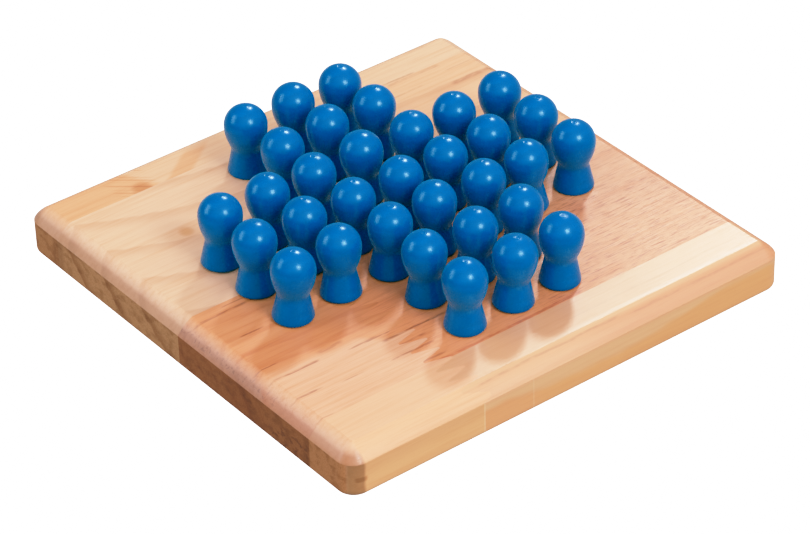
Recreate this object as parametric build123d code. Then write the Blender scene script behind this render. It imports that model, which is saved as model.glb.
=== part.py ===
"""A peg solitaire set: a square pine board with a cross of blind holes and a turned peg in each.

Millimetres, +Z up. The origin is the middle of the underside of the board. The grain of the
board runs along X, the front edge is at -Y. Holes and pegs are named like the squares of a
chessboard: columns a to g from left to right (+X), rows 1 to 7 from front to back (+Y).
"""

import math
import os
import random

from build123d import *

# Turned peg, from its shoulder up, and the shank below it
head_radius = 7.6
flank_height = 8.6  # from the neck up to the middle of the ball
neck_inset = 2.45  # the neck is this much narrower than the ball, before it is rounded
neck_round = 2.5
skirt_height = 9.8  # from the shoulder up to the neck
skirt_inset = 0.3  # the foot of the skirt is this much narrower than the ball
skirt_round = 0.95
shank_radius = 2.6
shank_length = 9.0
shank_chamfer = 0.6

# Fit of a peg in its hole
hole_play = 0.3  # radial clearance, loose enough to lift a peg out with two fingers
hole_end_gap = 1.0  # below the end of the shank
seat_gap = 0.05  # between the board and the lowest point of a shoulder
lean_share = 0.7  # the share of the play that the most crooked peg takes up
lean_seed = 316908

# Pattern of holes: a cross of 7 columns and 7 rows with arms 3 wide
finger_room = 4.8  # between the heads of two neighbours
cross_reach = 3  # holes on each side of the middle hole
arm_reach = 1  # the same, across an arm

# Board
board_margin = 31.5  # from the middle of an outermost hole to the side of the board
hole_floor = 7.7  # wood left under a hole
corner_radius = 6.5  # the four upright corners, in plan
edge_inset = 6.2  # the eased top edge starts this far in from each side
edge_drop = 5.0  # and meets the side this far below the top
edge_bulge = 0.58  # the ease is a shallow arc, with a soft crease at both ends
underside_round = 2.0
cutter_overhang = 2.0  # how far a cutter runs past the surface it cuts

# Glued blank: two whole staves meet near the middle, and a narrow strip of a third and a fourth
# runs along the back and the front. The front two are each two finger-jointed blocks.
stave_width = 71.6
seam_offset = 1.0  # the glue line between the whole staves is this far behind the middle
left_block_length = 53.1  # from the left side of the board to the middle of the fingers
finger_length = 9.0
finger_pitch = 6.5
finger_tip_width = 0.9
finger_lead = 2.35  # the row of fingers starts this far in front of the board

skirt_radius = head_radius - skirt_inset
neck_radius = head_radius - neck_inset
head_height = skirt_height + flank_height
hole_radius = shank_radius + hole_play
hole_depth = shank_length + hole_end_gap
largest_lean = lean_share * math.degrees(math.atan2(hole_play, shank_length / 2))
hole_pitch = 2 * head_radius + finger_room
board_side = 2 * (cross_reach * hole_pitch + board_margin)
board_thickness = hole_depth + hole_floor
finger_joint_x = left_block_length - board_side / 2


def edge_cutter_face(reach):
    """What is cut off the top edge, drawn in XZ with the side of the board at X = 0.

    Only the part within reach of the side is drawn. Z = 0 is the top of the board.
    """
    inner = (-edge_inset, 0)
    outer = (0, -edge_drop)
    with BuildSketch(Plane.XZ) as sketch:
        with BuildLine():
            SagittaArc(inner, outer, edge_bulge)
            Polyline(
                outer,
                (cutter_overhang, -edge_drop),
                (cutter_overhang, cutter_overhang),
                (-edge_inset, cutter_overhang),
                inner,
            )
        make_face()
        width = reach + cutter_overhang
        with Locations((-reach + width / 2, 0)):
            Rectangle(width, 4 * max(edge_drop, cutter_overhang), mode=Mode.INTERSECT)
    return sketch.sketch


def board_blank():
    """The board before drilling: rounded corners, an eased top edge, a small round below."""
    half = board_side / 2
    outline = RectangleRounded(board_side, board_side, corner_radius)
    blank = extrude(outline, board_thickness)
    blank = fillet(blank.faces().sort_by(Axis.Z)[0].edges(), underside_round)

    length = board_side + 2 * cutter_overhang
    side_cutter = extrude(edge_cutter_face(edge_inset), length / 2, both=True)
    corner_reach = min(edge_inset, corner_radius)
    corner_face = Pos(corner_radius, 0, 0) * edge_cutter_face(corner_reach)
    corner_cutter = revolve(corner_face, Axis.Z, 90)
    centre = half - corner_radius
    for quarter in range(4):
        turn = Rot(0, 0, 90 * quarter)
        blank -= turn * Pos(half, 0, board_thickness) * side_cutter
        blank -= turn * Pos(centre, centre, board_thickness) * corner_cutter
    return blank


def cross_squares():
    """The name and the middle of each hole of the cross."""
    squares = {}
    steps = range(-cross_reach, cross_reach + 1)
    for column in steps:
        for row in steps:
            if min(abs(column), abs(row)) <= arm_reach:
                name = chr(ord("a") + column + cross_reach) + str(row + cross_reach + 1)
                squares[name] = (column * hole_pitch, row * hole_pitch)
    return squares


def left_of_fingers():
    """The space to the left of the zigzag joint between the blocks of the front two staves."""
    reach = board_side
    row_start = -board_side / 2 - finger_lead
    flank = (finger_pitch - 2 * finger_tip_width) / 2
    left = finger_joint_x - finger_length / 2
    right = finger_joint_x + finger_length / 2
    zigzag = []
    for finger in range(math.ceil((seam_offset - row_start) / finger_pitch) + 1):
        start = row_start + finger * finger_pitch
        zigzag += [
            (left, start),
            (left, start + finger_tip_width),
            (right, start + finger_tip_width + flank),
            (right, start + 2 * finger_tip_width + flank),
        ]
    outline = Polyline((-reach, zigzag[0][1]), *zigzag, (-reach, zigzag[-1][1]), close=True)
    return extrude(make_face(outline), reach, both=True)


def board_staves():
    """The drilled board, sawn apart along its glue lines into whole staves."""
    board = board_blank()
    drill = Cylinder(hole_radius, hole_depth, align=(Align.CENTER, Align.CENTER, Align.MAX))
    for x, y in cross_squares().values():
        board -= Pos(x, y, board_thickness) * drill

    outside = board_side / 2 + cutter_overhang
    front_seam = seam_offset - stave_width
    back_seam = seam_offset + stave_width
    glue_lines = (-outside, front_seam, seam_offset, back_seam, outside)
    names = ("front_strip", "front_stave", "back_stave", "back_strip")
    staves = {}
    for name, front, back in zip(names, glue_lines, glue_lines[1:]):
        slab = Box(2 * board_side, back - front, 2 * board_side)
        staves[name] = board & Pos(0, (front + back) / 2, 0) * slab
    return staves


def board_blocks():
    """The glued pieces of the board, with the front two staves parted at the fingers."""
    left_side = left_of_fingers()
    blocks = {}
    for name, stave in board_staves().items():
        if name.startswith("front"):
            blocks[name + "_left_block"] = stave & left_side
            blocks[name + "_right_block"] = stave - left_side
        else:
            blocks[name] = stave
    return blocks


def turned_peg():
    """One peg about Z with its shoulder at Z = 0: shank, skirt, neck and ball head."""
    flank_radius = (neck_inset**2 + flank_height**2) / (2 * neck_inset)
    neck = (neck_radius, skirt_height)
    equator = (head_radius, head_height)
    crown = (0, head_height + head_radius)
    with BuildSketch(Plane.XZ) as sketch:
        with BuildLine():
            Polyline(
                crown,
                (0, -shank_length),
                (shank_radius - shank_chamfer, -shank_length),
                (shank_radius, -shank_length + shank_chamfer),
                (shank_radius, 0),
                (skirt_radius, 0),
                neck,
            )
            RadiusArc(neck, equator, -flank_radius)
            RadiusArc(equator, crown, -head_radius)
        make_face()
        corners = sketch.vertices()
        fillet(corners.sort_by_distance((neck_radius, skirt_height, 0))[0], neck_round)
        corners = sketch.vertices()
        fillet(corners.sort_by_distance((skirt_radius, 0, 0))[0], skirt_round)
    return revolve(sketch.sketch, Axis.Z)


def seated_pegs():
    """A peg in every hole, each leaning a little its own way within the play of its hole."""
    peg = turned_peg()
    chance = random.Random(lean_seed)
    pegs = {}
    for name, (x, y) in cross_squares().items():
        lean = largest_lean * math.sqrt(chance.random())
        towards = chance.uniform(0, 360)
        tilt = math.radians(lean)
        dip = skirt_radius * math.sin(tilt) + shank_length / 2 * (1 - math.cos(tilt))
        seat = Pos(x, y, board_thickness + dip + seat_gap)
        pivot = Pos(0, 0, -shank_length / 2)
        turned = Rot(0, 0, towards) * Rot(0, lean, 0) * Rot(0, 0, -towards)
        pegs["peg_" + name] = seat * pivot * turned * Pos(0, 0, shank_length / 2) * peg
    return pegs


def main():
    os.makedirs("parts", exist_ok=True)
    for node, solid in {**board_blocks(), **seated_pegs()}.items():
        export_step(solid, f"parts/{node}.step")


main()
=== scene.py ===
"""Looks of the peg solitaire board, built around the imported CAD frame.

Metres in the row's frame: +Z up, origin at the middle of the underside, grain along X and the
front edge at -Y. The glued pieces of the board keep their CAD solids and get wood materials.
Each peg's CAD solid is replaced by a finer turned form on the same axis.
"""

import math
import random

import bpy
import numpy as np
from mathutils import Matrix, Quaternion, Vector, noise


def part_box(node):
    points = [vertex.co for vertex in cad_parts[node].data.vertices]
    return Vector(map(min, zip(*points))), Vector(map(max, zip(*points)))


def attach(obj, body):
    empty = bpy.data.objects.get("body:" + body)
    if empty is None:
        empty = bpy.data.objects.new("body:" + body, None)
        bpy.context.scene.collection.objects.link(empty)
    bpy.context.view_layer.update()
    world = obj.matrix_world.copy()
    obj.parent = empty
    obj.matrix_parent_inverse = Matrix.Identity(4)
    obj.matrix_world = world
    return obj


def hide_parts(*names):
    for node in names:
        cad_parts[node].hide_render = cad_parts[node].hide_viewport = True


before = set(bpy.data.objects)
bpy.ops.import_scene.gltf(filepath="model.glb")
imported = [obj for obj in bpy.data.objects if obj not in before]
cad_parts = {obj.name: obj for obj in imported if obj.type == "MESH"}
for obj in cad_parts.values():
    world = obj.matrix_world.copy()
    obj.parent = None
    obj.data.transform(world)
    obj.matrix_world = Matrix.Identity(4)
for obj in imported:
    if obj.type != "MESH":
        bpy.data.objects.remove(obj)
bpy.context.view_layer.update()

MM = 0.001
IMAGE_WIDTH = 810

board_low, board_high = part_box("back_stave")
BOARD_HALF = board_high.x
BOARD_TOP = board_high.z
BOARD_SIDE_MM = 2 * BOARD_HALF / MM
MIDDLE_SEAM = (board_low.y + BOARD_HALF) / MM
BACK_SEAM = (board_high.y + BOARD_HALF) / MM
FRONT_SEAM = 2 * MIDDLE_SEAM - BACK_SEAM

# Camera: it looks at a point on the top of the board, left of and in front of its middle
CAMERA_AZIMUTH = math.radians(-37.03)
CAMERA_ELEVATION = math.radians(34.993)
CAMERA_ROLL = math.radians(-1.68)
CAMERA_DISTANCE = 1.1708
CAMERA_TARGET = Vector((-14.67 * MM, -21.49 * MM, BOARD_TOP))
FOCAL_PIXELS = 3521.1
SENSOR_WIDTH = 36.0

# The scene level that the film shows as white, and what it makes of the levels below it: of red
# alone, and then of all three colours
WHITE_LEVEL = 2.0
FILM_RED = (
    (0.03, 0.002),
    (0.10, 0.07),
    (0.20, 0.195),
    (0.35, 0.355),
    (0.55, 0.585),
    (0.75, 0.77),
    (1.0, 1.0),
)
FILM_TONES = (
    (0.02, 0.012),
    (0.10, 0.09),
    (0.30, 0.295),
    (0.60, 0.60),
    (0.80, 0.765),
    (1.00, 0.865),
    (1.30, 0.95),
    (1.65, 0.99),
)

# What the white table, the walls, the ceiling and large soft reflectors send to the board. Each
# reflector has a direction and a level.
TABLE_LEVEL = 0.55
ROOM_LEVEL = 0.22
CEILING_LEVEL = 0.30
REFLECTORS = (((-0.19, -0.57, 0.80), 1.1), ((0.87, -0.46, 0.20), 0.35))

# Light panels: name, direction and distance from the board, width and height in metres, the
# level that a white surface facing the panel shows, and the panel's roll in degrees
LIGHTS = (
    ("back_light", (0.600, 0.446, 0.663), 3.0, 0.28, 0.28, 0.24, 0.0),
    ("front_light", (0.01, -0.76, 0.66), 1.5, 0.40, 0.44, 0.38, 0.0),
    ("left_light", (-0.70, 0.50, 0.51), 1.5, 0.55, 1.00, 0.28, 35.0),
)
FLOOR_REACH = 4.0

# Turned peg, as in its CAD solid. The blend is what its sharp neck is softened by.
HEAD_RADIUS = 7.6 * MM
FLANK_HEIGHT = 8.6 * MM
NECK_INSET = 2.45 * MM
NECK_BLEND = 0.55 * MM
SKIRT_HEIGHT = 9.8 * MM
SKIRT_INSET = 0.3 * MM
SKIRT_ROUND = 0.95 * MM
SHANK_RADIUS = 2.6 * MM
SHANK_LENGTH = 9.0 * MM
SHANK_CHAMFER = 0.6 * MM

# Rings of a peg's mesh: fine ones over the crown, where the stub is, and coarser ones below
PEG_SEGMENTS = 72
CROWN_ARC = 2.0 * MM
CROWN_STEP = 0.12 * MM
HEAD_RINGS = 26
SIDE_RINGS = 44
ROUND_RINGS = 6

# Lacquer on the pegs: its colour wanders between two blues, and painted shade darkens it at the
# foot
LACQUER = (0, 87, 160)
LIGHT_LACQUER = (0, 93, 168)
FOOT_SHADE_LACQUER = (0, 60, 128)
PEEL_DEPTH = 0.010  # in mm, of the orange peel in the lacquer

# Small faults of hand turning. The lathe leaves a stub on the crown, a low, lopsided ridge round
# a pit. The crown is flattened a little, so that the ridge stays under the top of the CAD solid.
STUB_HEIGHTS = (0.06, 0.16)  # in mm
STUB_RADII = (0.7, 1.1)  # in mm
STUB_WIDTH = 0.22 * MM
STUB_LOPSIDED = 0.6
PIT_WIDTH = 0.4 * MM
PIT_SHARE = 0.3  # of the height of the stub
FLAT_DEPTH = 0.14 * MM
FLAT_WIDTH = 3.2 * MM
WOBBLE = 0.05 * MM
WOBBLE_LENGTH = 6 * MM
NOISE_SPAN = 50.0  # where in the noise a peg's wobble starts
PEG_SEED = 7

HEAD_HEIGHT = SKIRT_HEIGHT + FLANK_HEIGHT
NECK_RADIUS = HEAD_RADIUS - NECK_INSET
SKIRT_RADIUS = HEAD_RADIUS - SKIRT_INSET
FLANK_RADIUS = (NECK_INSET**2 + FLANK_HEIGHT**2) / (2 * NECK_INSET)


def linear(red, green, blue):
    """A scene-linear colour from 8-bit display values, by the curve of sRGB."""
    shares = (red / 255, green / 255, blue / 255)
    return tuple(((c + 0.055) / 1.055) ** 2.4 if c > 0.04 else c / 12.92 for c in shares)


class Graph:
    """Shorthand for the node tree of a material or world. Values are sockets or plain numbers."""

    def __init__(self, owner):
        self.owner = owner
        owner.use_nodes = True
        self.tree = owner.node_tree
        self.tree.nodes.clear()

    def put(self, value, socket):
        if isinstance(value, bpy.types.NodeSocket):
            self.tree.links.new(value, socket)
        elif isinstance(value, tuple) and socket.type == "RGBA":
            socket.default_value = (*value, 1.0)
        else:
            socket.default_value = value

    def node(self, kind, inputs=(), **settings):
        node = self.tree.nodes.new(kind)
        for key, value in settings.items():
            setattr(node, key, value)
        for key, value in dict(inputs).items():
            self.put(value, node.inputs[key])
        return node

    def math(self, operation, first, second=0.0):
        return self.node("ShaderNodeMath", {0: first, 1: second}, operation=operation).outputs[0]

    def add(self, first, second):
        return self.math("ADD", first, second)

    def take(self, first, second):
        return self.math("SUBTRACT", first, second)

    def times(self, first, *factors):
        for factor in factors:
            first = self.math("MULTIPLY", first, factor)
        return first

    def mix(self, share, first, second, blend="MIX"):
        """The first colour, blended by a share with the second."""
        node = self.node("ShaderNodeMix", data_type="RGBA", blend_type=blend)
        self.put(share, node.inputs[0])
        self.put(first, node.inputs[6])
        self.put(second, node.inputs[7])
        return node.outputs[2]

    def step(self, value, low, high, to_low=0.0, to_high=1.0):
        """Goes smoothly from to_low to to_high while value goes from low to high."""
        inputs = {0: value, 1: low, 2: high, 3: to_low, 4: to_high}
        node = self.node("ShaderNodeMapRange", inputs, interpolation_type="SMOOTHSTEP")
        return node.outputs[0]

    def point(self, x, y, z):
        return self.node("ShaderNodeCombineXYZ", {0: x, 1: y, 2: z}).outputs[0]

    def noise(self, vector, detail=2.0, roughness=0.5):
        """Fractal noise around 0.5, one lump per unit of the vector."""
        inputs = {"Vector": vector, "Scale": 1.0, "Detail": detail, "Roughness": roughness}
        return self.node("ShaderNodeTexNoise", inputs).outputs[0]

    def place(self):
        """X, Y and Z of the shaded point in the piece's own frame, in mm."""
        here = self.node("ShaderNodeTexCoord").outputs["Object"]
        scaled = self.node("ShaderNodeVectorMath", {0: here, 3: 1 / MM}, operation="SCALE")
        return self.node("ShaderNodeSeparateXYZ", {0: scaled.outputs[0]}).outputs[:3]

    def finish(self, bump_height=None, bump_depth=0.0, **inputs):
        """Ends the tree in one Principled shader; the bump depth is in mm."""
        shader = self.node("ShaderNodeBsdfPrincipled")
        for key, value in inputs.items():
            self.put(value, shader.inputs[key.replace("_", " ")])
        if bump_height is not None:
            bump = self.node("ShaderNodeBump", {"Height": bump_height})
            bump.inputs["Strength"].default_value = 1.0
            bump.inputs["Distance"].default_value = bump_depth * MM
            self.put(bump.outputs[0], shader.inputs["Normal"])
        output = self.node("ShaderNodeOutputMaterial")
        self.put(shader.outputs[0], output.inputs["Surface"])
        return self.owner


# ---------------------------------------------------------------- pegs


def side_radius_at(height):
    """Radius of a peg at a height over its shoulder, up to the middle of its ball.

    It is the larger of the skirt and the flank under the ball, blended smoothly at the neck.
    """
    bulge = math.sqrt(max(FLANK_RADIUS**2 - (HEAD_HEIGHT - height) ** 2, 0.0))
    flank = HEAD_RADIUS - FLANK_RADIUS + bulge
    slope = (SKIRT_RADIUS - NECK_RADIUS) / SKIRT_HEIGHT
    skirt = SKIRT_RADIUS - slope * height
    radius = skirt + NECK_BLEND * math.log1p(math.exp((flank - skirt) / NECK_BLEND))
    if height < SKIRT_ROUND:
        rise = SKIRT_ROUND - height
        radius -= SKIRT_ROUND - math.sqrt(SKIRT_ROUND**2 - rise**2)
    return radius


def peg_rings():
    """Radius and height of the rings of a peg, from the crown down to the end of the shank."""
    rings = []
    below_crown = HEAD_RADIUS * math.pi / 2 - CROWN_ARC
    arcs = [CROWN_STEP * k for k in range(1, round(CROWN_ARC / CROWN_STEP) + 1)]
    arcs += [CROWN_ARC + below_crown * k / HEAD_RINGS for k in range(1, HEAD_RINGS + 1)]
    for arc in arcs:
        angle = arc / HEAD_RADIUS
        rings.append((HEAD_RADIUS * math.sin(angle), HEAD_HEIGHT + HEAD_RADIUS * math.cos(angle)))
    for k in range(1, SIDE_RINGS + 1):
        height = HEAD_HEIGHT + (SKIRT_ROUND - HEAD_HEIGHT) * k / SIDE_RINGS
        rings.append((side_radius_at(height), height))
    for k in range(1, ROUND_RINGS + 1):
        height = SKIRT_ROUND * (1 - math.sin(math.pi / 2 * k / ROUND_RINGS))
        rings.append((side_radius_at(height), height))
    rings.append(((SKIRT_RADIUS - SKIRT_ROUND + SHANK_RADIUS) / 2, 0.0))
    rings.append((SHANK_RADIUS, 0.0))
    rings.append((SHANK_RADIUS, -SHANK_LENGTH + SHANK_CHAMFER))
    rings.append((SHANK_RADIUS - SHANK_CHAMFER, -SHANK_LENGTH))
    return rings


def peg_mesh(name, chance):
    """A peg about its own Z with the shoulder at 0, with the small faults of hand turning."""
    rings = peg_rings()
    stub_turn = chance.uniform(0, 2 * math.pi)
    stub_height = chance.uniform(*STUB_HEIGHTS) * MM
    stub_radius = chance.uniform(*STUB_RADII) * MM
    wobble_from = Vector([chance.uniform(0, NOISE_SPAN) for _ in range(3)])
    crown = HEAD_HEIGHT + HEAD_RADIUS
    vertices = [(0.0, 0.0, crown - PIT_SHARE * stub_height - FLAT_DEPTH)]
    for radius, height in rings:
        off_axis = radius if height > HEAD_HEIGHT else math.inf
        flat = FLAT_DEPTH * math.exp(-((off_axis / FLAT_WIDTH) ** 2))
        pit = PIT_SHARE * math.exp(-((off_axis / PIT_WIDTH) ** 2))
        ridge = math.exp(-(((off_axis - stub_radius) / STUB_WIDTH) ** 2))
        for segment in range(PEG_SEGMENTS):
            turn = 2 * math.pi * segment / PEG_SEGMENTS
            out = Vector((math.cos(turn), math.sin(turn), 0.0))
            point = out * radius + Vector((0, 0, height))
            if height > 0:
                lump = noise.noise(point / WOBBLE_LENGTH + wobble_from)
                point += out * WOBBLE * lump * min(1.0, radius / HEAD_RADIUS)
            share = (0.5 + 0.5 * math.cos(turn - stub_turn)) ** STUB_LOPSIDED
            point.z += stub_height * (ridge * share - pit) - flat
            vertices.append(tuple(point))
    faces = [(0, 1 + k, 1 + (k + 1) % PEG_SEGMENTS) for k in range(PEG_SEGMENTS)]
    for ring in range(len(rings) - 1):
        above = 1 + ring * PEG_SEGMENTS
        below = above + PEG_SEGMENTS
        for k in range(PEG_SEGMENTS):
            after = (k + 1) % PEG_SEGMENTS
            faces.append((above + k, below + k, below + after, above + after))
    last = 1 + (len(rings) - 1) * PEG_SEGMENTS
    faces.append(tuple(last + k for k in reversed(range(PEG_SEGMENTS))))
    mesh = bpy.data.meshes.new(name)
    mesh.from_pydata(vertices, [], faces)
    mesh.shade_smooth()
    return mesh


def node_axis(node):
    """The upward direction of the axis of a turned CAD node, and the node's top on that axis."""
    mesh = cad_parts[node].data
    centres = np.zeros(len(mesh.polygons) * 3)
    areas = np.zeros(len(mesh.polygons))
    mesh.polygons.foreach_get("center", centres)
    mesh.polygons.foreach_get("area", areas)
    centres = centres.reshape(-1, 3)
    middle = np.average(centres, axis=0, weights=areas)
    spread = (centres - middle) * np.sqrt(areas)[:, None]
    along = np.linalg.eigh(spread.T @ spread)[1][:, -1]
    along = along if along[2] > 0 else -along
    reach = float(((centres - middle) @ along).max())
    return Vector(along), Vector(middle + reach * along)


def make_peg(node, paint, chance):
    """Puts a turned peg in the place of a CAD node, leaning as that leans."""
    along, crown = node_axis(node)
    mesh = peg_mesh(node + "_turned", chance)
    base = crown - along * (HEAD_HEIGHT + HEAD_RADIUS)
    spin = Matrix.Rotation(chance.uniform(0, 2 * math.pi), 4, "Z")
    tilt = Vector((0, 0, 1)).rotation_difference(along).to_matrix().to_4x4()
    mesh.transform(tilt @ spin)
    piece = bpy.data.objects.new(node + "_turned", mesh)
    bpy.context.scene.collection.objects.link(piece)
    piece.matrix_world = Matrix.Translation(base)
    mesh.materials.append(paint)
    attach(piece, node)
    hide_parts(node)


def peg_paint():
    """Azure lacquer over turned wood: glossy, a little uneven, with painted shade that darkens it
    towards the foot.
    """
    g = Graph(bpy.data.materials.new("blue_lacquer"))
    x, y, z = g.place()
    coarse = g.noise(g.point(g.times(x, 0.25), g.times(y, 0.25), g.times(z, 0.6)))
    colour = g.mix(g.step(coarse, 0.3, 0.7), linear(*LACQUER), linear(*LIGHT_LACQUER))
    # Painted shade at the foot of the peg, where it stands on the board
    colour = g.mix(g.step(z, 0.0, 3.0, 0.35, 0.0), colour, linear(*FOOT_SHADE_LACQUER))
    peel = g.noise(g.point(g.times(x, 0.7), g.times(y, 0.7), g.times(z, 0.7)))
    return g.finish(
        peel,
        PEEL_DEPTH,
        Base_Color=colour,
        Roughness=g.step(peel, 0.3, 0.7, 0.23, 0.29),
        Specular_IOR_Level=0.68,
        Sheen_Weight=0.25,
        Sheen_Roughness=0.5,
        Sheen_Tint=(0.25, 0.75, 0.95),
        Specular_Tint=(0.46, 0.92, 1.0),
    )


# ---------------------------------------------------------------- wood


# Tints multiply the colour of the wood. End grain is darker than it, and painted shade darkens
# the eased left edge.
END_TINT = (0.59, 0.48, 0.305)
EDGE_SHADE_TINT = (0.545, 0.465, 0.38)
BROAD_FIBRE_TINT = (0.88, 0.77, 0.64)
FINE_FIBRE_TINT = (0.84, 0.74, 0.62)
LUMP_TINT = (0.74, 0.64, 0.52)
PORE_TINT = (0.74, 0.62, 0.50)
# Painted shade near the foot of the board's faces
FOOT_SHADE_TINT = (0.60, 0.52, 0.48)
STREAK_TINT = (0.46, 0.35, 0.23)
# Painted sheen along the rounded crease of the eased left edge
EDGE_SHEEN_COLOUR = (240, 202, 182)
GLUE_COLOUR = (236, 204, 160)

# Two thin lines run down the front face, this far in mm from the left end: the joint between the
# blocks of the front strip, and a fainter one
FIRST_JOINT_LINE = 54.1
SECOND_JOINT_LINE = 74.3

# Measures of the wood in mm
DRIFT_START = 6.0  # growth rings start to drift sideways this far from the left end
DRIFT_LENGTH = 60.0  # and have mostly settled this much further on
LATEWOOD_RISE = (0.62, 0.92)  # where in a growth ring the dark latewood comes in
LATEWOOD_FALL = (0.94, 1.0)  # and where it ends
LEFT_EDGE = 5.4  # width of the eased left edge
LEFT_EDGE_SOFTNESS = 1.6
FOOT_SHADE_DEPTHS = (14.5, 17.6)  # painted shade darkens the faces between these depths
STREAK_DEPTHS = (2.0, 6.0)  # streaks and spots end between these depths


class Wood(Graph):
    """The material of one piece of pine, in the board's own measures, in mm.

    along runs with the grain from the left side of the board, back runs from its front edge to
    its back edge, and depth is how far a point lies under the top. So a figure that is drawn
    here goes on over the eased edge and down the faces, as it does in real wood.
    """

    def __init__(self, name, display_colour):
        super().__init__(bpy.data.materials.new(name))
        x, y, z = self.place()
        self.along = self.add(x, BOARD_HALF / MM)
        self.back = self.add(y, BOARD_HALF / MM)
        self.depth = self.take(BOARD_TOP / MM, z)
        normal = self.node("ShaderNodeNewGeometry").outputs["Normal"]
        facing = self.node("ShaderNodeSeparateXYZ", {0: normal}).outputs[0]
        self.end = self.step(self.math("ABSOLUTE", facing), 0.76, 0.90)
        self.wander = self.take(self.fibres(0.06, 0.25, 2.0), 0.5)
        self.colour = linear(*display_colour)

    def fibres(self, lengthwise, across, detail=3.0):
        """Noise drawn out along the grain, in lumps per mm along it and across it."""
        at = self.point(
            self.times(self.along, lengthwise),
            self.times(self.back, across),
            self.times(self.depth, across),
        )
        return self.noise(at, detail)

    def within(self, value, low, high, softness):
        """1 between low and high, going to 0 over the softness outside them."""
        off = self.math("ABSOLUTE", self.take(value, (low + high) / 2))
        reach = (high - low) / 2
        return self.step(off, reach, reach + softness, 1.0, 0.0)

    def rings(self, pith_back, pith_depth, first, spacing, drift=0.0):
        """Share of dark latewood in growth rings round a pith that runs along the grain.

        It rises slowly outwards through a ring and ends at once at the next one. From the left
        end of the board on, the rings drift towards the front by that many mm in all.
        """
        inwards = self.math("MAXIMUM", self.take(self.along, DRIFT_START), 0.0)
        settle = self.math("EXPONENT", self.times(inwards, -1 / DRIFT_LENGTH))
        drifted = self.times(self.take(1.0, settle), drift)
        out = self.add(self.take(self.back, pith_back), drifted)
        down = self.take(self.depth, pith_depth)
        radius = self.math("SQRT", self.add(self.times(out, out), self.times(down, down)))
        radius = self.add(radius, self.times(self.wander, 3.0))
        share = self.math("FRACT", self.math("DIVIDE", self.take(radius, first), spacing))
        rise = self.step(share, *LATEWOOD_RISE)
        return self.times(rise, self.step(share, *LATEWOOD_FALL, 1.0, 0.0))

    def stain(self, share, tint):
        """Multiplies the colour by a tint where the share is 1."""
        self.colour = self.mix(share, self.colour, tint, "MULTIPLY")

    def turn_into(self, share, display_colour):
        """Goes over to another colour where the share is 1."""
        self.colour = self.mix(share, self.colour, linear(*display_colour))

    def streak(self, start, stop, back, width, strength, tint=STREAK_TINT):
        """A dark line along the grain in the wood near the top, so far from the front edge."""
        over = self.within(self.along, start, stop, 2.5)
        place = self.add(self.back, self.times(self.wander, 1.6))
        line = self.within(place, back - 0.2 * width, back + 0.2 * width, 0.5 * width)
        broken = self.step(self.fibres(0.30, 0.9, 1.0), 0.35, 0.55, 0.4, 1.0)
        near_top = self.step(self.depth, *STREAK_DEPTHS, strength, 0.0)
        self.stain(self.times(over, line, broken, near_top), tint)

    def streaks(self, *rows):
        """Dark lines, each row giving start, stop, back, width and strength."""
        for row in rows:
            self.streak(*row)

    def patch(self, box, softness, strength, tint, slant=0.0):
        """A soft stain over the box start, stop, low, high, leaning by slant mm per mm back."""
        start, stop, low, high = box
        along = self.take(self.along, self.times(self.take(self.back, low), slant))
        wavy = self.add(self.back, self.times(self.wander, 2.5))
        over = self.within(along, start, stop, softness)
        across = self.within(wavy, low, high, softness)
        self.stain(self.times(over, across, strength), tint)

    def spot(self, along, back, length, width, strength, tint):
        """A soft oval stain near the top, length along the grain and width across it."""
        off_along = self.times(self.take(self.along, along), 2 / length)
        off_back = self.times(self.take(self.add(self.back, self.wander), back), 2 / width)
        off = self.add(self.times(off_along, off_along), self.times(off_back, off_back))
        near_top = self.step(self.depth, *STREAK_DEPTHS, strength, 0.0)
        self.stain(self.times(self.step(off, 0.0, 2.4, 1.0, 0.0), near_top), tint)

    def dress(self, fibre=1.0, end=END_TINT, edge=EDGE_SHADE_TINT, gloss=0.78, relief=0.03):
        """Lays fibres, painted shade and a painted sheen on the eased left edge, end grain and
        painted shade at the foot over the colour; ends in the shader.

        Fibre is how strong the fibres are, end is the tint of the end grain, edge is the tint of
        the painted shade on the left edge, the gloss is the specular level, and the relief of the
        fibres is in mm.
        """
        inwards = self.add(self.along, self.times(self.wander, 2.0))
        left = self.step(inwards, LEFT_EDGE, LEFT_EDGE + LEFT_EDGE_SOFTNESS, 1.0, 0.0)
        left = self.times(left, self.take(1.0, self.end))
        # Painted shade on the eased left edge, darker further down it
        self.stain(self.times(left, self.step(self.depth, 0.2, 3.0)), edge)
        # Painted sheen where the rounded crease of the left edge catches the light
        edge_sheen = self.times(left, self.within(self.depth, 0.8, 2.0, 1.2))
        self.turn_into(self.times(edge_sheen, 0.22), EDGE_SHEEN_COLOUR)
        fine = self.fibres(0.09, 3.0)
        broad = self.fibres(0.02, 0.6)
        pores = self.fibres(0.02, 2.4)
        on_end = self.point(0.0, self.times(self.back, 0.20), self.times(self.depth, 0.32))
        lumps = self.step(self.noise(on_end, 3.0), 0.46, 0.64, 0.0, 0.8)
        self.stain(self.step(broad, 0.40, 0.75, 0.0, 0.55 * fibre), BROAD_FIBRE_TINT)
        self.stain(self.step(fine, 0.45, 0.80, 0.0, 0.5 * fibre), FINE_FIBRE_TINT)
        self.stain(self.end, end)
        self.stain(self.times(self.end, lumps), LUMP_TINT)
        self.stain(self.times(self.end, self.step(pores, 0.35, 0.75, 0.0, 0.7)), PORE_TINT)
        # Painted shade: the faces darken towards the foot of the board
        self.stain(self.step(self.depth, *FOOT_SHADE_DEPTHS, 0.0, 0.35), FOOT_SHADE_TINT)
        rough = self.add(self.step(fine, 0.3, 0.8, 0.33, 0.41), self.times(self.end, 0.50))
        return self.finish(
            fine,
            relief,
            Base_Color=self.colour,
            Roughness=rough,
            Specular_IOR_Level=gloss,
        )


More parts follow.
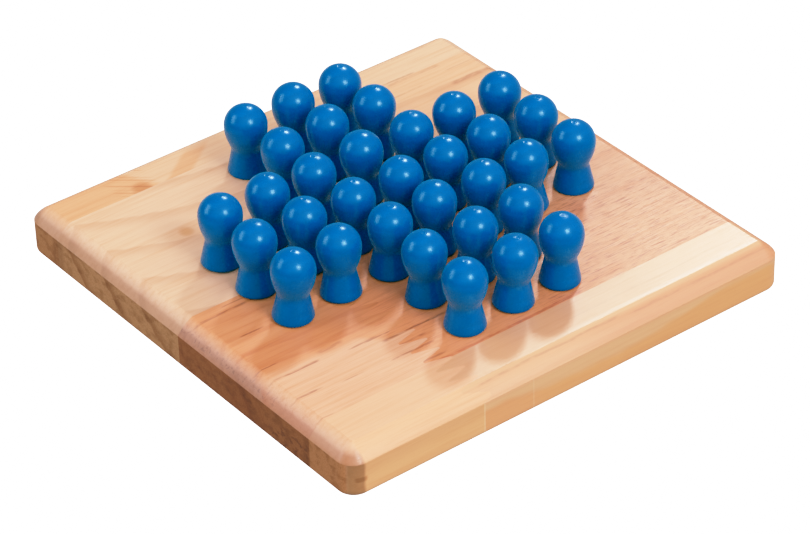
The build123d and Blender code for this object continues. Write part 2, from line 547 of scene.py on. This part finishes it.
def tan_pine():
    """The strip along the back: pale, with tan patches at its left end."""
    wood = Wood("tan_pine", (233, 188, 152))
    wood.patch((-2, 41, BACK_SEAM - 1, BOARD_SIDE_MM + 1), 4.0, 0.9, (0.95, 0.80, 0.64), -0.5)
    wood.spot(36.5, BACK_SEAM + 1.5, 6.0, 6.0, 0.9, (0.74, 0.60, 0.42))
    wood.patch((48, 55, BACK_SEAM, BACK_SEAM + 9), 3.5, 0.75, (0.92, 0.75, 0.57), 1.3)
    # Fine dark lines that run slantwise over the tan patch
    slanted = wood.add(wood.along, wood.times(wood.back, 1.2))
    lines = wood.step(wood.noise(wood.point(wood.times(slanted, 0.45), 0.0, 0.0)), 0.50, 0.62)
    around = wood.within(wood.along, 29.0, 41.0, 3.0)
    wood.stain(wood.times(lines, around, 0.6), (0.76, 0.60, 0.44))
    wood.streaks(
        (95, 134, BACK_SEAM + 3.0, 1.4, 0.18),
        (120, 168, BACK_SEAM + 12.0, 1.2, 0.15),
        (140, 153, BACK_SEAM + 0.4, 1.0, 0.5),
    )
    seam_side = wood.times(wood.end, wood.within(wood.back, 159.5, 166.0, 2.0))
    wood.stain(seam_side, (0.80, 0.73, 0.66))
    # The edge tint is painted shade on the eased left edge
    return wood.dress(end=(0.585, 0.515, 0.375), edge=(0.61, 0.65, 0.745))


def pale_pine():
    """The back stave: cream, with wide growth rings that slant over its left end."""
    wood = Wood("pale_pine", (235, 192, 159))
    wood.turn_into(wood.step(wood.along, 70.0, 150.0, 0.0, 0.8), (232, 176, 133))
    shown = wood.step(wood.end, 0.0, 1.0, 0.36, 0.85)
    rings = wood.rings(6.0, -123.0, 3.6, 15.0, 32.0)
    wood.stain(wood.times(rings, shown), (0.68, 0.54, 0.40))
    wood.spot(33.0, 134.0, 14.0, 7.0, 0.5, (0.90, 0.78, 0.62))
    wood.spot(33.0, 134.0, 4.5, 4.5, 0.9, (0.84, 0.70, 0.48))
    seam_side = wood.times(wood.end, wood.within(wood.back, 162.0, 170.0, 2.5))
    wood.stain(seam_side, (0.78, 0.71, 0.64))
    wood.streaks(
        (143, 163, 163.0, 1.4, 0.35),
        (162, 190, 149.5, 2.4, 0.45),
        (128, 150, 155.5, 1.0, 0.22),
        (166, 180, 158.0, 0.9, 0.25),
        (60, 84, 159.5, 1.2, 0.20),
    )
    return wood.dress()


def mixed_pine():
    """The left block of the front stave: reddish heart that goes over to cream sapwood."""
    wood = Wood("mixed_pine", (224, 153, 103))
    # The sapwood starts so far from the front edge at the left end, nearer along the block
    # and nearer deeper down
    start = wood.take(49.5, wood.step(wood.along, 22.0, 30.0, 0.0, 1.7))
    start = wood.take(start, wood.step(wood.along, 38.0, 50.0, 0.0, 6.5))
    start = wood.take(start, wood.times(wood.math("MINIMUM", wood.depth, 6.0), 1.4))
    into = wood.take(wood.add(start, wood.times(wood.wander, 5.0)), wood.back)
    sap = wood.step(into, -2.2, 1.6)
    wood.turn_into(sap, (232, 174, 137))
    wood.stain(wood.times(wood.end, sap), (0.93, 0.78, 0.59))
    heart = wood.step(into, -5.0, 0.0, 1.0, 0.0)
    rings = wood.rings(123.0, 60.0, 20.0, 6.5, 6.0)
    wood.stain(wood.times(rings, heart, 0.4), (0.82, 0.66, 0.52))
    deep = wood.within(wood.add(wood.back, wood.times(wood.wander, 8.0)), 55.0, 64.0, 5.0)
    wood.stain(wood.times(deep, heart, 0.55), (0.86, 0.74, 0.62))
    # On the end grain: one dark band, and rough dark spots in the sapwood
    band = wood.within(wood.add(wood.back, wood.times(wood.depth, 0.95)), 60.5, 64.5, 2.5)
    wood.stain(wood.times(wood.end, band, 0.8), (0.84, 0.76, 0.66))
    lumps = wood.noise(wood.point(0.0, wood.times(wood.back, 0.30), wood.times(wood.depth, 0.45)))
    rough_zone = wood.within(wood.back, 24.0, 40.0, 4.0)
    spots = wood.times(wood.step(lumps, 0.52, 0.62), wood.step(wood.depth, 6.0, 10.0))
    wood.stain(wood.times(spots, rough_zone, wood.end), (0.70, 0.60, 0.54))
    wood.streaks(
        (18, 26, 90.5, 0.8, 0.55),
        (5, 26, 87.8, 1.0, 0.60),
        (13, 19, 73.1, 0.7, 0.70),
        (5, 11, 54.4, 0.7, 0.70),
        (27, 34, 50.0, 1.6, 0.40),
        (5, 22, 47.0, 0.9, 0.45),
        (12, 22, 46.8, 0.7, 0.50),
        (42, 50, 44.7, 0.8, 0.65),
        (47, 72, 41.5, 1.0, 0.80),
        (5, 14, 34.5, 0.7, 0.75),
        (24, 29, 32.5, 0.6, 0.45),
        (43, 57, 31.6, 0.8, 0.70),
        (51, 58, 64.0, 0.9, 0.70),
        (36, 44, 45.3, 0.7, 0.60),
        (5, 9, 21.4, 0.5, 0.45),
    )
    # Painted shade on the eased left edge, one tint over the heart and one over the sapwood
    edge = wood.mix(heart, (0.53, 0.41, 0.32), (0.52, 0.56, 0.77))
    specks = wood.noise(wood.point(wood.times(wood.along, 0.5), wood.back, wood.depth))
    specks = wood.times(wood.step(specks, 0.56, 0.64), wood.within(wood.depth, 2.2, 3.6, 1.0))
    near = wood.times(wood.within(wood.along, -1.0, 5.0, 1.0), wood.step(wood.back, 30.0, 45.0))
    wood.stain(wood.times(specks, near, 0.7), (0.66, 0.52, 0.44))
    return wood.dress(1.4, (0.44, 0.36, 0.235), edge, relief=0.06)


def reddish_pine():
    """The right block of the front stave: orange with fine dark flecks."""
    wood = Wood("reddish_pine", (228, 152, 100))
    wood.turn_into(wood.step(wood.along, 96.0, 150.0, 0.0, 0.9), (225, 161, 118))
    rings = wood.rings(30.0, 60.0, 20.0, 9.0, -8.0)
    wood.stain(wood.times(rings, 0.35), (0.84, 0.68, 0.54))
    right = wood.step(wood.along, 80.0, 120.0, 0.35, 1.0)
    near = wood.step(wood.back, 55.0, 75.0, 1.0, 0.6)
    for lengthwise, across, strength in ((0.13, 1.7, 0.8), (0.30, 3.2, 0.6)):
        flecks = wood.step(wood.fibres(lengthwise, across, 1.0), 0.54, 0.66, 0.0, strength)
        wood.stain(wood.times(flecks, near, right), (0.62, 0.47, 0.35))
    wood.streak(50, 112, FRONT_SEAM + 0.9, 1.3, 0.6, (0.70, 0.42, 0.28))
    wood.streaks(
        (47, 72, 41.5, 1.0, 0.85),
        (49, 57, 36.6, 0.9, 0.55),
        (43, 57, 31.6, 0.9, 0.60),
        (49, 57, 24.6, 1.2, 0.60),
    )
    return wood.dress(1.5, (0.42, 0.34, 0.22), gloss=1.05, relief=0.07)


def joint_line(wood, place, strength):
    """A thin pale line of glue down the front face, so far from the left end."""
    face = wood.step(wood.depth, 4.8, 5.4, 0.0, strength)
    line = wood.within(wood.along, place - 0.1, place + 0.1, 0.25)
    wood.turn_into(wood.times(line, face), GLUE_COLOUR)


def cream_pine():
    """The left block of the front strip: plain cream, tan on the front face."""
    wood = Wood("cream_pine", (234, 178, 139))
    face = wood.take(1.0, wood.end)
    wood.turn_into(wood.times(wood.step(wood.depth, 4.4, 5.6), face), (217, 165, 112))
    wood.turn_into(wood.times(wood.step(wood.depth, 7.0, 12.0), face), (225, 173, 118))
    # A small dark mark low on the front face, near its left end
    mark = wood.within(wood.depth, 10.5, 11.5, 0.8)
    wood.patch((3.5, 6.5, -5, 3), 1.0, mark, (0.78, 0.66, 0.52))
    joint_line(wood, FIRST_JOINT_LINE, 0.55)
    return wood.dress(0.8)


def whitish_pine():
    """The right block of the front strip: whitish on top, orange in the lower front face."""
    wood = Wood("whitish_pine", (225, 169, 121))
    # How far down the orange heart starts on the front face: deepest about the middle
    dip = wood.within(wood.along, 92.0, 118.0, 34.0)
    rise = wood.step(wood.along, 140.0, 160.0, 0.0, 1.6)
    start = wood.take(wood.add(7.8, wood.times(dip, 3.4)), rise)
    into = wood.take(wood.depth, wood.add(start, wood.times(wood.wander, 4.0)))
    edge = wood.step(wood.depth, 0.3, 1.2)
    wood.turn_into(edge, (223, 160, 112))
    wood.turn_into(wood.times(wood.step(wood.along, 85.0, 125.0), edge), (215, 146, 97))
    wood.turn_into(wood.step(wood.depth, 4.0, 6.5), (222, 171, 115))
    near_joint = wood.within(wood.along, 50.0, 70.0, 15.0)
    orange = wood.mix(near_joint, linear(221, 158, 86), linear(221, 155, 88))
    wood.colour = wood.mix(wood.step(into, -1.2, 1.6), wood.colour, orange)
    # A painted highlight along the crease between the top and the eased edge, where its rounding
    # catches the light
    crease = wood.within(wood.add(wood.back, wood.times(wood.wander, 1.2)), 6.9, 7.4, 1.0)
    right = wood.step(wood.along, 60.0, 120.0)
    near_top = wood.step(wood.depth, 0.2, 0.6, 0.30, 0.0)
    wood.turn_into(wood.times(crease, right, near_top), (246, 226, 204))
    joint_line(wood, FIRST_JOINT_LINE, 0.55)
    joint_line(wood, SECOND_JOINT_LINE, 0.25)
    wood.streaks(
        (56, 112, 4.4, 0.7, 0.35),
        (100, 170, 12.5, 0.8, 0.15),
        (120, 178, 3.4, 0.7, 0.25),
    )
    return wood.dress(0.8, gloss=1.9, relief=0.05)


def dress_board():
    """Gives each glued piece of the board its own wood."""
    materials = {
        "back_strip": tan_pine(),
        "back_stave": pale_pine(),
        "front_stave_left_block": mixed_pine(),
        "front_stave_right_block": reddish_pine(),
        "front_strip_left_block": cream_pine(),
        "front_strip_right_block": whitish_pine(),
    }
    for node, material in materials.items():
        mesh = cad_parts[node].data
        mesh.materials.clear()
        mesh.materials.append(material)


# ---------------------------------------------------------------- stage, lights, camera


def make_floor():
    """A plain white table that the camera sees and nothing else does.

    What lights the object from below is the world.
    """
    mesh = bpy.data.meshes.new("floor")
    signs = ((-1, -1), (1, -1), (1, 1), (-1, 1))
    corners = [(FLOOR_REACH * x, FLOOR_REACH * y, 0) for x, y in signs]
    mesh.from_pydata(corners, [], [(0, 1, 2, 3)])
    floor = bpy.data.objects.new("floor", mesh)
    bpy.context.scene.collection.objects.link(floor)
    g = Graph(bpy.data.materials.new("floor"))
    material = g.finish(
        Base_Color=(0.0, 0.0, 0.0),
        Roughness=1.0,
        Specular_IOR_Level=0.0,
        Emission_Color=(1.0, 1.0, 1.0),
        Emission_Strength=WHITE_LEVEL,
    )
    mesh.materials.append(material)
    floor.visible_diffuse = False
    floor.visible_glossy = False
    floor.visible_shadow = False


def make_light(name, towards, distance, width, height, level, roll):
    """A soft panel that stands in a direction from the board and faces it."""
    data = bpy.data.lights.new(name, "AREA")
    data.shape = "RECTANGLE"
    data.size = width
    data.size_y = height
    data.energy = level * (math.pi * distance) ** 2
    light = bpy.data.objects.new(name, data)
    bpy.context.scene.collection.objects.link(light)
    direction = Vector(towards).normalized()
    light.location = Vector((0, 0, BOARD_TOP)) + direction * distance
    turned = Quaternion((0, 0, 1), math.radians(roll))
    light.rotation_euler = (direction.to_track_quat("Z", "Y") @ turned).to_euler()


def make_world():
    """A dim room with a white table and large soft reflectors, the main one beside the camera."""
    world = bpy.data.worlds.new("studio")
    g = Graph(world)
    direction = g.node("ShaderNodeTexCoord").outputs["Generated"]
    up = g.node("ShaderNodeSeparateXYZ", {0: direction}).outputs[2]
    room = g.step(up, 0.0, 1.0, ROOM_LEVEL, CEILING_LEVEL)
    for towards, level in REFLECTORS:
        inputs = {0: direction, 1: Vector(towards).normalized()}
        facing = g.node("ShaderNodeVectorMath", inputs, operation="DOT_PRODUCT").outputs["Value"]
        glow = g.math("POWER", g.math("MAXIMUM", facing, 0.0), 2.0)
        room = g.add(room, g.times(glow, level))
    above = g.step(up, -0.05, 0.0)
    level = g.add(g.times(room, above), g.times(g.take(1.0, above), TABLE_LEVEL))
    sky = g.node("ShaderNodeBackground", {"Color": (1.0, 1.0, 1.0), "Strength": level})
    output = g.node("ShaderNodeOutputWorld")
    g.put(sky.outputs[0], output.inputs["Surface"])
    bpy.context.scene.world = world


def make_camera():
    """A camera that looks at its target from its azimuth, elevation and distance."""
    azimuth, elevation = CAMERA_AZIMUTH, CAMERA_ELEVATION
    right = Vector((math.cos(azimuth), math.sin(azimuth), 0))
    back = Vector(
        (
            math.sin(azimuth) * math.cos(elevation),
            -math.cos(azimuth) * math.cos(elevation),
            math.sin(elevation),
        )
    )
    up = back.cross(right)
    rolled_right = right * math.cos(CAMERA_ROLL) + up * math.sin(CAMERA_ROLL)
    rolled_up = up * math.cos(CAMERA_ROLL) - right * math.sin(CAMERA_ROLL)
    data = bpy.data.cameras.new("camera")
    data.sensor_fit = "HORIZONTAL"
    data.sensor_width = SENSOR_WIDTH
    data.lens = FOCAL_PIXELS * SENSOR_WIDTH / IMAGE_WIDTH
    data.clip_end = 20.0
    camera = bpy.data.objects.new("camera", data)
    bpy.context.scene.collection.objects.link(camera)
    turn = Matrix((rolled_right, rolled_up, back)).transposed().to_4x4()
    camera.matrix_world = Matrix.Translation(CAMERA_TARGET + back * CAMERA_DISTANCE) @ turn
    bpy.context.scene.camera = camera


def make_film():
    """Plain colours, with the lightest and the darkest tones pressed as a camera does."""
    settings = bpy.context.scene.view_settings
    settings.view_transform = "Standard"
    settings.use_curve_mapping = True
    settings.curve_mapping.white_level = (WHITE_LEVEL, WHITE_LEVEL, WHITE_LEVEL)
    red, all_colours = settings.curve_mapping.curves[0], settings.curve_mapping.curves[3]
    for scene_level, shown_level in FILM_TONES:
        all_colours.points.new(scene_level / WHITE_LEVEL, shown_level)
    for scene_level, kept_level in FILM_RED:
        red.points.new(scene_level / WHITE_LEVEL, kept_level / WHITE_LEVEL)
    settings.curve_mapping.update()


def main():
    dress_board()
    paint = peg_paint()
    chance = random.Random(PEG_SEED)
    for node in sorted(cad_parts):
        if node.startswith("peg_"):
            make_peg(node, paint, chance)
    make_floor()
    make_world()
    for light in LIGHTS:
        make_light(*light)
    make_camera()
    make_film()


main()
